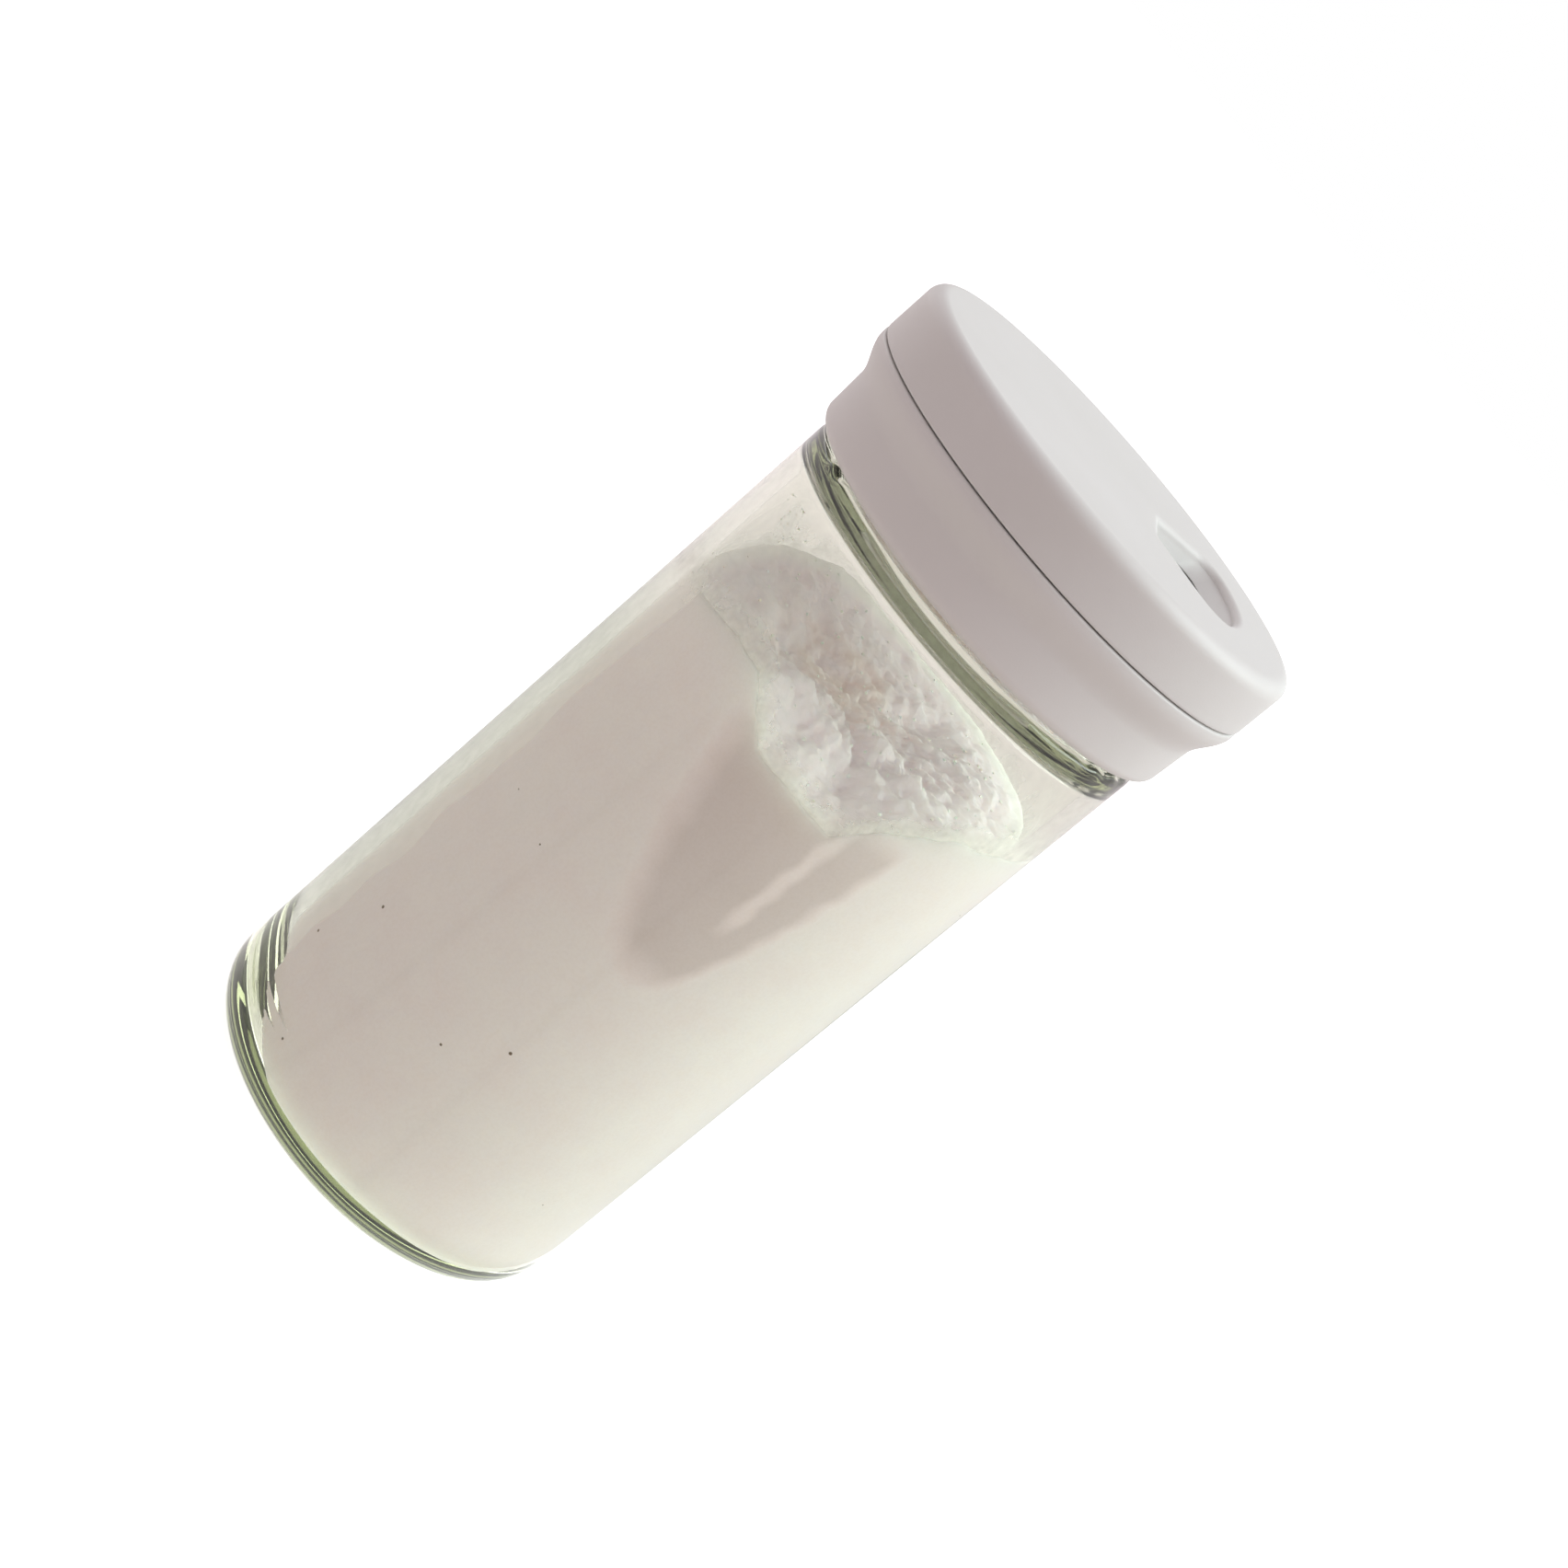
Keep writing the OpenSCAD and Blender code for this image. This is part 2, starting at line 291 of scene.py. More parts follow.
glass = piece("jar_glass", glass_mesh, green_glass)
dusty = glass.data.attributes.new("dust", "FLOAT", "POINT")
low_glass = glass.data.attributes.new("foot", "FLOAT", "POINT")
for v in glass.data.vertices:
    r, z, turn = math.hypot(v.co.x, v.co.y) / mm, v.co.z / mm, math.degrees(math.atan2(v.co.y, v.co.x))
    low_glass.data[v.index].value = float(z < 1.2 or (z < 3.5 and r > bore_r) or z > heap_rim(turn) + 2)
    if r > bore_r + 0.4 or z > neck_z - 0.5 or z < 1:
        continue
    smear = noise.noise(Vector((v.co.x * 90, v.co.y * 90, z * 0.12)))
    above_salt = z - heap_rim(turn)
    if above_salt > 0:
        patch = math.exp(-((turn + 150) / 5) ** 2 - ((z - 90.5) / 2.2) ** 2)
        film = 0.08 + 0.5 * math.exp(-above_salt / 2.2) + 0.25 * patch
    else:
        film = 0.1 + 0.48 * math.exp(above_salt / 1.3)
    dusty.data[v.index].value = film * (1 + 0.5 * smear)
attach(glass, "jar")
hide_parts("glass_jar")

# Salt
# Fine white table salt, a little damp. It has caked on to the glass at the front
# and right, shrunk off it at the left, and broken into soft clumps on top.
# hollows and mounds: middle x and y, half widths, and height
heap_forms = [(-8.1, 3.2, 4.5, 8, -2.6), (8.7, 8.8, 3.6, 4.5, -1.8), (-1.9, -12.9, 9, 5.5, 2.0),
              (14, 3.5, 9, 10, 2.4), (2.5, 14.5, 6, 4, 0.8)]


def heap_height(x, y):
    """Height of the salt's surface in millimetres at a point given in millimetres."""
    edge = heap_rim(math.degrees(math.atan2(y, x)))
    out = min(1, math.hypot(x, y) / bore_r)
    height = 78.4 + (edge - 78.4) * out ** 1.5
    for mid_x, mid_y, wide, deep, high in heap_forms:
        height += high * math.exp(-((x - mid_x) / wide) ** 2 - ((y - mid_y) / deep) ** 2)
    broken = (0.35 + 0.75 * math.exp(-((x - 3) / 12) ** 2 - ((y + 5) / 14) ** 2)) * (1 - 0.65 * out ** 10)
    for size, high, layer in ((4.4, 1.5, 3.1), (1.9, 1.0, 7.7), (0.9, 0.55, 1.3), (0.55, 0.25, 5.9)):
        height += broken * high * noise.noise(Vector((x / size, y / size, layer)))
    return height


def stand_off(angle, z):
    """Gap between the salt and the glass, a hair less than nothing where the salt is caked on."""
    left = -158 + 30 * min(1, max(0, (9 - z) / 6)) + 4 * noise.noise(Vector((z / 7, 2.2, 0)))
    right = 46 - 90 * min(1, max(0, (14 - z) / 12)) + 5 * noise.noise(Vector((z / 7, 9.1, 0)))
    turn = math.degrees(angle)
    caked = min(1, max(0, min(turn - left, right - turn) / 5))
    return 0.15 - 0.18 * caked


def dark_tongue(angle, z):
    """How much the salt is darkened: a dark tongue runs down the front from the surface, with one paler streak in
    it.
    """
    down = (78.5 - z) / 34
    if not 0 < down < 1:
        return 0
    rough = 1.3 * noise.noise(Vector((math.degrees(angle) / 6, z / 2.6, 4)))
    turn = math.degrees(angle) + rough
    left, right = -86 - 35 * (1 - down) ** 0.55, -86 + 29 * (1 - down) ** 0.4
    inside = min(1, max(0, (turn - left) / 9)) * min(1, max(0, (right - turn) / 4))
    streak = min(1, max(0, 3 - abs(turn + 74.5 + 4 * down)) / 2) * min(1, max(0, (0.66 - down) / 0.1))
    return inside * (1 - 0.8 * streak) * min(1, (1 - down) / 0.16, down / 0.1)


salt_mesh = bmesh.new()
around, across, rows = 480, 92, 132
compass = [(i - around / 2) * 2 * math.pi / around for i in range(around)]
rim_heights = [heap_height(bore_r * math.cos(a), bore_r * math.sin(a)) for a in compass]
salt_rings = [[salt_mesh.verts.new((0, 0, 3.95 * mm))]]
for r, z, out, up in ([(19.8 * i / 6, 3.3 + 0.5 * (1 - (i / 6) ** 2), 0, -1) for i in range(1, 6)]
                      + [(bore_r - 4 + 4 * math.sin(t), 7.3 - 4 * math.cos(t), math.sin(t), -math.cos(t))
                         for t in np.radians(np.linspace(0, 90, 13))]):
    ring = []
    for a in compass:
        wave = min(1, max(0, (r - 15) / 4)) * bore_wave(math.cos(a), math.sin(a), z)
        gap = stand_off(a, z)
        ring_r = r + wave - gap * out
        ring.append(salt_mesh.verts.new((ring_r * mm * math.cos(a), ring_r * mm * math.sin(a), (z - gap * up) * mm)))
    joined(salt_mesh, salt_rings[-1], ring)
    salt_rings.append(ring)
for share in np.linspace(0, 1, rows + 1)[1:]:
    ring = []
    for a, top in zip(compass, rim_heights):
        z = 7.3 + (top - 7.3) * share
        r = bore_r + bore_wave(math.cos(a), math.sin(a), z) - stand_off(a, z)
        ring.append(salt_mesh.verts.new((r * mm * math.cos(a), r * mm * math.sin(a), z * mm)))
    joined(salt_mesh, salt_rings[-1], ring)
    salt_rings.append(ring)
for share in np.linspace(1, 0, across)[1:]:
    if share == 0:
        ring = [salt_mesh.verts.new((0, 0, heap_height(0, 0) * mm))]
    else:
        r = bore_r * share
        ring = [salt_mesh.verts.new((r * mm * math.cos(a), r * mm * math.sin(a),
                                     heap_height(r * math.cos(a), r * math.sin(a)) * mm)) for a in compass]
    joined(salt_mesh, salt_rings[-1], ring)
    salt_rings.append(ring)

fine_salt = bpy.data.materials.new("fine_salt")
fine_salt.use_nodes = True
nodes, links = fine_salt.node_tree.nodes, fine_salt.node_tree.links
surface = nodes["Principled BSDF"]
surface.inputs["Roughness"].default_value = 0.8
surface.inputs["Specular IOR Level"].default_value = 0.25
surface.inputs["Subsurface Weight"].default_value = 0.85
surface.inputs["Subsurface Radius"].default_value = (1, 0.94, 0.86)
deep = nodes.new("ShaderNodeMath")
deep.operation = "MULTIPLY_ADD"
deep.inputs[1].default_value = -0.0045
deep.inputs[2].default_value = 0.008
place = nodes.new("ShaderNodeTexCoord")
tone_patch = nodes.new("ShaderNodeTexNoise")
tone_patch.inputs["Scale"].default_value = 150
tone_patch.inputs["Detail"].default_value = 4
shades = nodes.new("ShaderNodeValToRGB")
shades.color_ramp.elements[0].position = 0.32
shades.color_ramp.elements[0].color = (0.955, 0.9, 0.91, 1)
shades.color_ramp.elements[1].position = 0.68
shades.color_ramp.elements[1].color = (0.985, 0.935, 0.955, 1)
grain = nodes.new("ShaderNodeTexNoise")
grain.inputs["Scale"].default_value = 3000
grain.inputs["Detail"].default_value = 3
grain_shades = nodes.new("ShaderNodeValToRGB")
grain_shades.color_ramp.elements[0].position = 0.35
grain_shades.color_ramp.elements[0].color = (0.95, 0.94, 0.93, 1)
grain_shades.color_ramp.elements[1].position = 0.6
grain_shades.color_ramp.elements[1].color = (1, 1, 1, 1)
grained = nodes.new("ShaderNodeMix")
grained.data_type = "RGBA"
grained.blend_type = "MULTIPLY"
grained.inputs[0].default_value = 0.5
# a darker tongue down the front of the salt, with one paler streak in it, multiplied into the colour from a mask
tongue = nodes.new("ShaderNodeAttribute")
tongue.attribute_name = "tone_patch"
tongue_darkened = nodes.new("ShaderNodeMix")
tongue_darkened.data_type = "RGBA"
tongue_darkened.blend_type = "MULTIPLY"
tongue_darkened.inputs[7].default_value = (0.78, 0.775, 0.765, 1)
specks = nodes.new("ShaderNodeTexVoronoi")
specks.inputs["Scale"].default_value = 170
speck_edge = nodes.new("ShaderNodeMath")
speck_edge.operation = "LESS_THAN"
speck_edge.inputs[1].default_value = 0.035
speckled = nodes.new("ShaderNodeMix")
speckled.data_type = "RGBA"
speckled.inputs[7].default_value = (0.22, 0.17, 0.13, 1)
bed = nodes.new("ShaderNodeBump")
bed.inputs["Distance"].default_value = 0.0001
loose = nodes.new("ShaderNodeAttribute")
loose.attribute_name = "loose"
# painted tint: the heap's free surface is drawn warmer and pinker than the salt on the glass, standing in for the
# colour of the light that reaches it
painted_heap_tint = nodes.new("ShaderNodeMix")
painted_heap_tint.data_type = "RGBA"
painted_heap_tint.blend_type = "MULTIPLY"
painted_heap_tint.inputs[7].default_value = (1, 0.9, 0.96, 1)
# painted shade: a patchy yellowish darkening over the hollow in the heap's top, where shade falls
hollow_shade = nodes.new("ShaderNodeAttribute")
hollow_shade.attribute_name = "hollow_shade"
hollow_shaded = nodes.new("ShaderNodeMix")
hollow_shaded.data_type = "RGBA"
hollow_shaded.blend_type = "MULTIPLY"
hollow_shaded.inputs[7].default_value = (0.94, 0.89, 0.77, 1)
for texture in (tone_patch, grain, specks):
    links.new(place.outputs["Object"], texture.inputs["Vector"])
links.new(tone_patch.outputs["Fac"], shades.inputs["Fac"])
links.new(grain.outputs["Fac"], grain_shades.inputs["Fac"])
links.new(shades.outputs["Color"], grained.inputs[6])
links.new(grain_shades.outputs["Color"], grained.inputs[7])
links.new(tongue.outputs["Fac"], tongue_darkened.inputs[0])
links.new(loose.outputs["Fac"], painted_heap_tint.inputs[0])
links.new(loose.outputs["Fac"], deep.inputs[0])
links.new(deep.outputs["Value"], surface.inputs["Subsurface Scale"])
links.new(grained.outputs[2], painted_heap_tint.inputs[6])
links.new(hollow_shade.outputs["Fac"], hollow_shaded.inputs[0])
links.new(painted_heap_tint.outputs[2], hollow_shaded.inputs[6])
links.new(hollow_shaded.outputs[2], tongue_darkened.inputs[6])
links.new(loose.outputs["Fac"], bed.inputs["Strength"])
links.new(specks.outputs["Distance"], speck_edge.inputs[0])
links.new(speck_edge.outputs["Value"], speckled.inputs[0])
links.new(tongue_darkened.outputs[2], speckled.inputs[6])
links.new(speckled.outputs[2], surface.inputs["Base Color"])
links.new(grain.outputs["Fac"], bed.inputs["Height"])
links.new(bed.outputs["Normal"], surface.inputs["Normal"])

salt = piece("salt_heap", salt_mesh, fine_salt, crease=180)
tongue_darkness = salt.data.attributes.new("tone_patch", "FLOAT", "POINT")
looseness = salt.data.attributes.new("loose", "FLOAT", "POINT")
hollow_shading = salt.data.attributes.new("hollow_shade", "FLOAT", "POINT")
for v in salt.data.vertices:
    x, y, z = v.co / mm
    if math.hypot(x, y) > bore_r - 0.3:
        tongue_darkness.data[v.index].value = dark_tongue(math.atan2(y, x), z)
    elif z > 60:
        looseness.data[v.index].value = min(1, (bore_r - math.hypot(x, y)) / 3)
        # mask of the painted shade over the hollow in the heap's top, broken up by noise
        cloudy = 0.75 + 0.8 * noise.noise(Vector((x / 3, y / 3, 5)))
        hollow_shading.data[v.index].value = max(0, cloudy) * math.exp(-((x + 3) / 9) ** 2 - ((y - 4) / 10) ** 2)
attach(salt, "jar")
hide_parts("salt_fill")

# Loose grains
# Single crystals that lie on the heap, and a few that cling to the glass above
# it where the damp salt stood before the jar was set upright.
grain_mesh = bmesh.new()
seeded = np.random.default_rng(7)


def add_grain(x, y, z, size):
    """Adds one salt crystal, a small cube turned at random."""
    turned_by = Matrix.Rotation(seeded.uniform(0, 6.3), 3, Vector(seeded.normal(size=3)).normalized())
    sides = seeded.uniform(0.75, 1.15, 3) * size / 2
    made = bmesh.ops.create_cube(grain_mesh, size=2)["verts"]
    for v in made:
        corner = turned_by @ Vector((v.co.x * sides[0], v.co.y * sides[1], v.co.z * sides[2]))
        v.co = (corner + Vector((x, y, z))) * mm


for i in range(160):
    r, a = (bore_r - 0.6) * math.sqrt(seeded.random()), seeded.uniform(0, 2 * math.pi)
    x, y = r * math.cos(a), r * math.sin(a)
    add_grain(x, y, heap_height(x, y) + 0.02, seeded.uniform(0.2, 0.36))
for i in range(26):
    a = math.radians(seeded.normal(-150, 4))
    z = min(92.4, seeded.normal(90.6, 1.4))
    add_grain((bore_r - 0.1) * math.cos(a), (bore_r - 0.1) * math.sin(a), z, seeded.uniform(0.1, 0.2))

crystal = bpy.data.materials.new("salt_crystal")
crystal.use_nodes = True
nodes, links = crystal.node_tree.nodes, crystal.node_tree.links
surface = nodes["Principled BSDF"]
surface.inputs["Roughness"].default_value = 0.35
surface.inputs["Subsurface Weight"].default_value = 0.5
surface.inputs["Subsurface Scale"].default_value = 0.0006
place = nodes.new("ShaderNodeTexCoord")
cloudy = nodes.new("ShaderNodeTexNoise")
cloudy.inputs["Scale"].default_value = 900
shades = nodes.new("ShaderNodeValToRGB")
shades.color_ramp.elements[0].color = (0.95, 0.9, 0.84, 1)
shades.color_ramp.elements[1].color = (0.99, 0.96, 0.92, 1)
links.new(place.outputs["Object"], cloudy.inputs["Vector"])
links.new(cloudy.outputs["Fac"], shades.inputs["Fac"])
links.new(shades.outputs["Color"], surface.inputs["Base Color"])

grains = piece("loose_grains", grain_mesh, crystal)
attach(grains, "jar")

# Gasket
# A ring of soft white rubber, pressed into the top of the collar's socket, that the glass
# rim closes on. A weak painted glow, an emission, stands in for the light that soaks through the thin white lid.
ring_low, ring_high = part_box("gasket")
ring_in, ring_out = mouth_r, ring_high.x / mm
ring_under, ring_top = ring_low.z / mm, ring_high.z / mm
edge = 0.3
ring_line = arc(ring_out - edge, ring_top - edge, edge, 90, 0, 4)
ring_line += arc(ring_out - edge, ring_under + edge, edge, 0, -90, 4)
ring_line += arc(ring_in + edge, ring_under + edge, edge, -90, -180, 4)
ring_line += arc(ring_in + edge, ring_top - edge, edge, 180, 90, 4)
ring_mesh = bmesh.new()
turned(ring_mesh, ring_line, 192)

soft_rubber = bpy.data.materials.new("soft_rubber")
soft_rubber.use_nodes = True
nodes, links = soft_rubber.node_tree.nodes, soft_rubber.node_tree.links
surface = nodes["Principled BSDF"]
surface.inputs["Roughness"].default_value = 0.62
# painted glow: a weak emission stands in for light soaking through the lid
surface.inputs["Emission Color"].default_value = (1, 0.98, 0.86, 1)
surface.inputs["Emission Strength"].default_value = 0.18
place = nodes.new("ShaderNodeTexCoord")
bloom = nodes.new("ShaderNodeTexNoise")
bloom.inputs["Scale"].default_value = 300
bloom.inputs["Detail"].default_value = 6
shades = nodes.new("ShaderNodeValToRGB")
shades.color_ramp.elements[0].color = (0.93, 0.92, 0.87, 1)
shades.color_ramp.elements[1].color = (0.98, 0.97, 0.93, 1)
skin = nodes.new("ShaderNodeBump")
skin.inputs["Strength"].default_value = 0.2
skin.inputs["Distance"].default_value = 0.0001
links.new(place.outputs["Object"], bloom.inputs["Vector"])
links.new(bloom.outputs["Fac"], shades.inputs["Fac"])
links.new(shades.outputs["Color"], surface.inputs["Base Color"])
links.new(bloom.outputs["Fac"], skin.inputs["Height"])
links.new(skin.outputs["Normal"], surface.inputs["Normal"])

gasket = piece("sealing_ring", ring_mesh, soft_rubber)
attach(gasket, "seal")
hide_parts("gasket")

# Screw collar
# One injection moulding in satin white polypropylene: a flared skirt with the
# thread inside, a plug ring for the mouth, and a raised deck with the holes.
collar_low, collar_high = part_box("screw_collar")
cap_r = collar_high.x / mm
deck_z = collar_high.z / mm
deck_under = deck_z - 1.5
plug_r = mouth_r - 0.3
throat_r = plug_r - 1
drum_r = plug_r + 1
socket_r = neck_r + 1.1
skirt_r = socket_r + 2.3
flange_z = ring_top + 0.05
seam_z = flange_z + 0.9
lip_z = neck_z + 0.5
land_r = cap_r - 2.3
pour_in, pour_out, pour_half, pour_round = 6.9, throat_r - 2.2, 36, 2.6


def fan(outer, grow):
    """Outline of the pour opening: an outer arc, two radial sides and a straight inner edge."""
    q = pour_round
    half = math.radians(pour_half)
    bend = half - math.asin(q / (outer - q))
    far = ((outer - q) * math.cos(bend), (outer - q) * math.sin(bend))
    near = (pour_in + q, ((pour_in + q) * math.sin(half) - q) / math.cos(half))
    r = q + grow
    points = arc(0, 0, outer + grow, -math.degrees(bend), math.degrees(bend), 28)
    points += arc(*far, r, math.degrees(bend), pour_half + 90, 14)[1:]
    points += straight(*points[-1], *arc(*near, r, pour_half + 90, 180, 1)[0], 6)[1:-1]
    points += arc(*near, r, pour_half + 90, 180, 10)
    points += straight(*points[-1], near[0] - r, -near[1], 8)[1:-1]
    points += arc(near[0], -near[1], r, 180, 270 - pour_half, 10)
    points += straight(*points[-1], *arc(far[0], -far[1], r, 270 - pour_half, 360, 1)[0], 6)[1:-1]
    points += arc(far[0], -far[1], r, 270 - pour_half, 360 - math.degrees(bend), 14)[:-1]
    return points


def circle(x, y, r, count):
    """Outline of a round hole."""
    return [(x + r * math.cos(a), y + r * math.sin(a)) for a in np.arange(count) * 2 * math.pi / count]


def outline(mesh, points, z, turn=0):
    """Adds a closed outline at height z, turned round Z by an angle in degrees. Returns its points."""
    c, s = math.cos(math.radians(turn)), math.sin(math.radians(turn))
    return [mesh.verts.new(((x * c - y * s) * mm, (x * s + y * c) * mm, z * mm)) for x, y in points]


def flat(mesh, outlines, up):
    """Fills the flat face between an outer outline and the outlines of its holes."""
    edges = []
    for ring in outlines:
        for one, two in zip(ring, ring[1:] + ring[:1]):
            edges.append(mesh.edges.get((one, two)) or mesh.edges.new((one, two)))
    bmesh.ops.triangle_fill(mesh, use_beauty=True, edges=edges, normal=(0, 0, up))


collar_line = [(drum_r - 0.4, deck_z)] + arc(drum_r - 0.3, deck_z - 0.3, 0.3, 90, 0, 5)
collar_line += [(drum_r, flange_z + 1.8)] + arc(drum_r + 0.2, flange_z + 1.8, 0.2, 180, 270, 3)
collar_line += arc(land_r - 0.15, flange_z + 1.45, 0.15, 90, 0, 3) + [(land_r, seam_z)]
collar_line += arc(cap_r - 0.3, seam_z - 0.3, 0.3, 90, 0, 5) + [(cap_r, seam_z - 0.5)]
collar_line += soft_s(cap_r, seam_z - 0.6, skirt_r + 0.2, seam_z - 5.6, 24)
collar_line += straight(skirt_r + 0.2, seam_z - 5.6, skirt_r, lip_z + 1.4, 4)[1:]
collar_line += arc(skirt_r - 1.4, lip_z + 1.4, 1.4, 0, -90, 10) + [(socket_r + 0.6, lip_z)]
collar_line += [(socket_r + 0.5, lip_z), (socket_r, lip_z + 0.6)]
collar_line += straight(socket_r, lip_z + 0.7, socket_r, flange_z - 0.6, 50) + [(socket_r, flange_z)]
collar_line += [(plug_r, flange_z), (plug_r, flange_z - 2.4), (throat_r + 0.4, flange_z - 3.6)]
collar_line += [(throat_r, flange_z - 3.6), (throat_r, deck_under - 0.9)]
collar_line += arc(throat_r - 0.8, deck_under - 0.8, 0.8, 0, 90, 6) + [(throat_r - 0.9, deck_under)]

collar_mesh = bmesh.new()
collar_rings = turned(collar_mesh, collar_line, 256, closed=False)
for v in collar_mesh.verts:
    r, z = math.hypot(v.co.x, v.co.y) / mm, v.co.z / mm
    if abs(r - socket_r) < 0.01 and lip_z + 0.65 < z < flange_z - 0.5:
        shift = -0.7 * thread_ridge(v.co.x, v.co.y, z, neck_z + 2 + screw_lead / 2, 1.1, 0.95)
        v.co.x *= 1 + shift / r
        v.co.y *= 1 + shift / r

# the deck's holes: one for the dial's hub, nine to sprinkle and one to pour
deck_holes = [(circle(0, 0, 3, 64), circle(0, 0, 3.2, 64), circle(0, 0, 3.26, 64), 0)]
row_pitch = (pour_out - 2.4 - pour_in - 1.6) / 2
hole_r = (row_pitch - 0.3) / 2
for row in range(3):
    ring_r = pour_in + 1.6 + row_pitch * row
    step = 2 * math.asin((hole_r + 0.8) / ring_r)
    for i in range(row + 2):
        a = (i - (row + 1) / 2) * step
        x, y = ring_r * math.cos(a), ring_r * math.sin(a)
        deck_holes.append([circle(x, y, hole_r + out, 40) for out in (0, 0.16, 0.2)] + [120])
deck_holes.append([fan(pour_out, out) for out in (0, 0.2, 0.26)] + [-120])
above, below = [collar_rings[0]], [collar_rings[-1]]
for hole, brim, beyond, turn_by in deck_holes:
    levels = [(beyond, deck_z), (brim, deck_z), (hole, deck_z - 0.06, brim), (hole, deck_z - 0.2),
              (hole, deck_under + 0.2), (hole, deck_under + 0.06, brim), (brim, deck_under), (beyond, deck_under)]
    rings = []
    for level_ in levels:
        points = level_[0]
        if len(level_) == 3:
            points = [(0.7 * a[0] + 0.3 * b[0], 0.7 * a[1] + 0.3 * b[1]) for a, b in zip(level_[0], level_[2])]
        rings.append(outline(collar_mesh, points, level_[1], turn_by))
    for one, two in zip(rings, rings[1:]):
        joined(collar_mesh, one, two)
    above.append(rings[0])
    below.append(rings[-1])
flat(collar_mesh, above, 1)
flat(collar_mesh, below, -1)

satin_plastic = bpy.data.materials.new("satin_plastic")
satin_plastic.use_nodes = True
nodes, links = satin_plastic.node_tree.nodes, satin_plastic.node_tree.links
surface = nodes["Principled BSDF"]
surface.inputs["Roughness"].default_value = 0.48
surface.inputs["IOR"].default_value = 1.49
surface.inputs["Subsurface Radius"].default_value = (1, 0.95, 0.9)
surface.inputs["Subsurface Scale"].default_value = 0.003
place = nodes.new("ShaderNodeTexCoord")
flow = nodes.new("ShaderNodeTexNoise")
flow.inputs["Scale"].default_value = 45
flow.inputs["Detail"].default_value = 3
shades = nodes.new("ShaderNodeValToRGB")
shades.color_ramp.elements[0].position = 0.3
shades.color_ramp.elements[0].color = (0.62, 0.612, 0.595, 1)
shades.color_ramp.elements[1].position = 0.7
shades.color_ramp.elements[1].color = (0.645, 0.637, 0.625, 1)
under = nodes.new("ShaderNodeAttribute")
under.attribute_name = "under"
# painted glow: the inner and under surfaces get a paler colour than the outside, standing in for light that soaks
# through the thin lid
painted_glow_inside = nodes.new("ShaderNodeMix")
painted_glow_inside.data_type = "RGBA"
painted_glow_inside.inputs[7].default_value = (0.95, 0.93, 0.88, 1)
soaked = nodes.new("ShaderNodeMath")
soaked.operation = "MULTIPLY_ADD"
soaked.inputs[1].default_value = 0.7
soaked.inputs[2].default_value = 0.3
spark = nodes.new("ShaderNodeTexNoise")
spark.inputs["Scale"].default_value = 5200
spark.inputs["Detail"].default_value = 2
texture_bump = nodes.new("ShaderNodeBump")
texture_bump.inputs["Strength"].default_value = 0.22
texture_bump.inputs["Distance"].default_value = 0.00004
for texture in (flow, spark):
    links.new(place.outputs["Object"], texture.inputs["Vector"])
links.new(flow.outputs["Fac"], shades.inputs["Fac"])
links.new(under.outputs["Fac"], painted_glow_inside.inputs[0])
links.new(under.outputs["Fac"], soaked.inputs[0])
links.new(soaked.outputs["Value"], surface.inputs["Subsurface Weight"])
links.new(shades.outputs["Color"], painted_glow_inside.inputs[6])
links.new(painted_glow_inside.outputs[2], surface.inputs["Base Color"])
links.new(spark.outputs["Fac"], texture_bump.inputs["Height"])
links.new(texture_bump.outputs["Normal"], surface.inputs["Normal"])

collar = piece("lid_collar", collar_mesh, satin_plastic)
# marks the inner and under surfaces, which get the painted glow colour and more subsurface scattering
painted_glow_side = collar.data.attributes.new("under", "FLOAT", "POINT")
for v in collar.data.vertices:
    r, z = math.hypot(v.co.x, v.co.y) / mm, v.co.z / mm
    painted_glow_side.data[v.index].value = float(r < socket_r + 0.3 and z < deck_under + 0.25)
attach(collar, "collar")
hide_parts("screw_collar")

# Dial
# The rotary top, moulded in the same plastic: a flat plate with a soft outer
# edge and one fan-shaped pour opening, held by a split hub that snaps in.
dial_low, dial_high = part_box("dial_top")
dial_z = dial_high.z / mm
plate_z = dial_z - 2.5
skirt_z = seam_z + 0.17
guide_r = drum_r + 0.3
soft_edge = 0.9
dial_line = [(cap_r - 1.9, dial_z)] + arc(cap_r - 1.8, dial_z - 1.8, 1.8, 90, 0, 12)
dial_line += [(cap_r, dial_z - 2.2), (cap_r, skirt_z + 0.5)]
dial_line += arc(cap_r - 0.3, skirt_z + 0.3, 0.3, 0, -90, 5)
dial_line += [(cap_r - 2, skirt_z), (cap_r - 2, plate_z), (guide_r + 1.3, plate_z)]
dial_line += [(guide_r + 1.3, plate_z - 2.7), (guide_r, plate_z - 2.7), (guide_r, plate_z)]
dial_mesh = bmesh.new()
dial_rings = turned(dial_mesh, dial_line, 288, closed=False)

